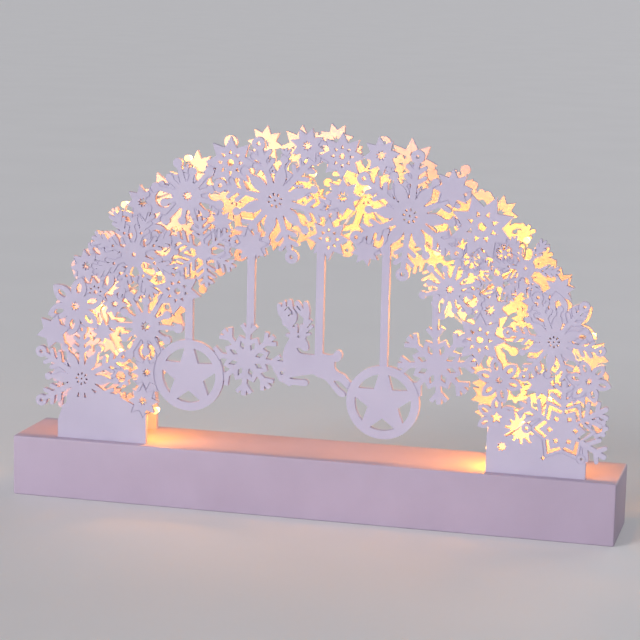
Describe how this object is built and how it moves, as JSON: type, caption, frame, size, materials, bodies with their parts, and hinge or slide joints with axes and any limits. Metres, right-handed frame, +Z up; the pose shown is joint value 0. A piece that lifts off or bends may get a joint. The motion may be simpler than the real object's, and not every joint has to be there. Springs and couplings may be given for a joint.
{
  "type": "led candle arch",
  "caption": "Lit candle arch: two white lace boards of snowflakes on a box base, with a chain of ornaments, a lamp string between them and a cell holder in the back.",
  "frame": {"origin": "on the ground under the middle of the base", "axes": "+X to the right along the base as seen from the front, +Y to the back, +Z up"},
  "size_m": [0.45, 0.066, 0.283],
  "materials": {
    "board_paint": "sheet cut by laser and painted satin white",
    "base_paint": "board painted satin white",
    "holder_plastic": "moulded black, fine grain",
    "cell_sleeve": "printed sleeve over a metal can, plain green",
    "contact_sheet": "plated spring sheet",
    "circuit_green": "solder mask",
    "lead_red": "insulation",
    "lead_black": "insulation",
    "lead_cream": "insulation",
    "lamp_resin": "clear resin, lit warm white"
  },
  "bodies": {
    "arch": {"front_board": "board_paint", "back_board": "board_paint", "base_top": "base_paint", "base_bottom": "base_paint", "base_front": "base_paint", "base_back": "base_paint", "base_end_left": "base_paint", "base_end_right": "base_paint", "cell_holder": "holder_plastic", "cell_lower": "cell_sleeve", "cell_upper": "cell_sleeve", "contact_bridge": "contact_sheet", "contact_plus": "contact_sheet", "contact_minus": "contact_sheet", "timer_circuit": "circuit_green", "timer_chip": "holder_plastic", "switch_body": "contact_sheet", "lead_plus": "lead_red", "lead_minus": "lead_black", "lamp_lead": "lead_cream", "lamp_01": "lamp_resin", "lamp_02": "lamp_resin", "lamp_03": "lamp_resin", "lamp_04": "lamp_resin", "lamp_05": "lamp_resin", "lamp_06": "lamp_resin", "lamp_07": "lamp_resin", "lamp_08": "lamp_resin", "lamp_09": "lamp_resin", "lamp_10": "lamp_resin", "lamp_11": "lamp_resin", "lamp_12": "lamp_resin", "lamp_13": "lamp_resin", "lamp_14": "lamp_resin", "lamp_15": "lamp_resin", "lamp_16": "lamp_resin", "lamp_17": "lamp_resin", "lamp_18": "lamp_resin", "lamp_19": "lamp_resin", "lamp_20": "lamp_resin"},
    "cover": {"cell_cover": "holder_plastic"},
    "switch": {"switch_knob": "holder_plastic"}
  },
  "joints": [
    {"name": "cover_off", "type": "slide", "parent": "arch", "child": "cover", "axis": [0, 1, 0], "range_m": [0, 0.06]},
    {"name": "switch_slide", "type": "slide", "parent": "arch", "child": "switch", "axis": [1, 0, 0], "range_m": [-0.002, 0.002]}
  ]
}
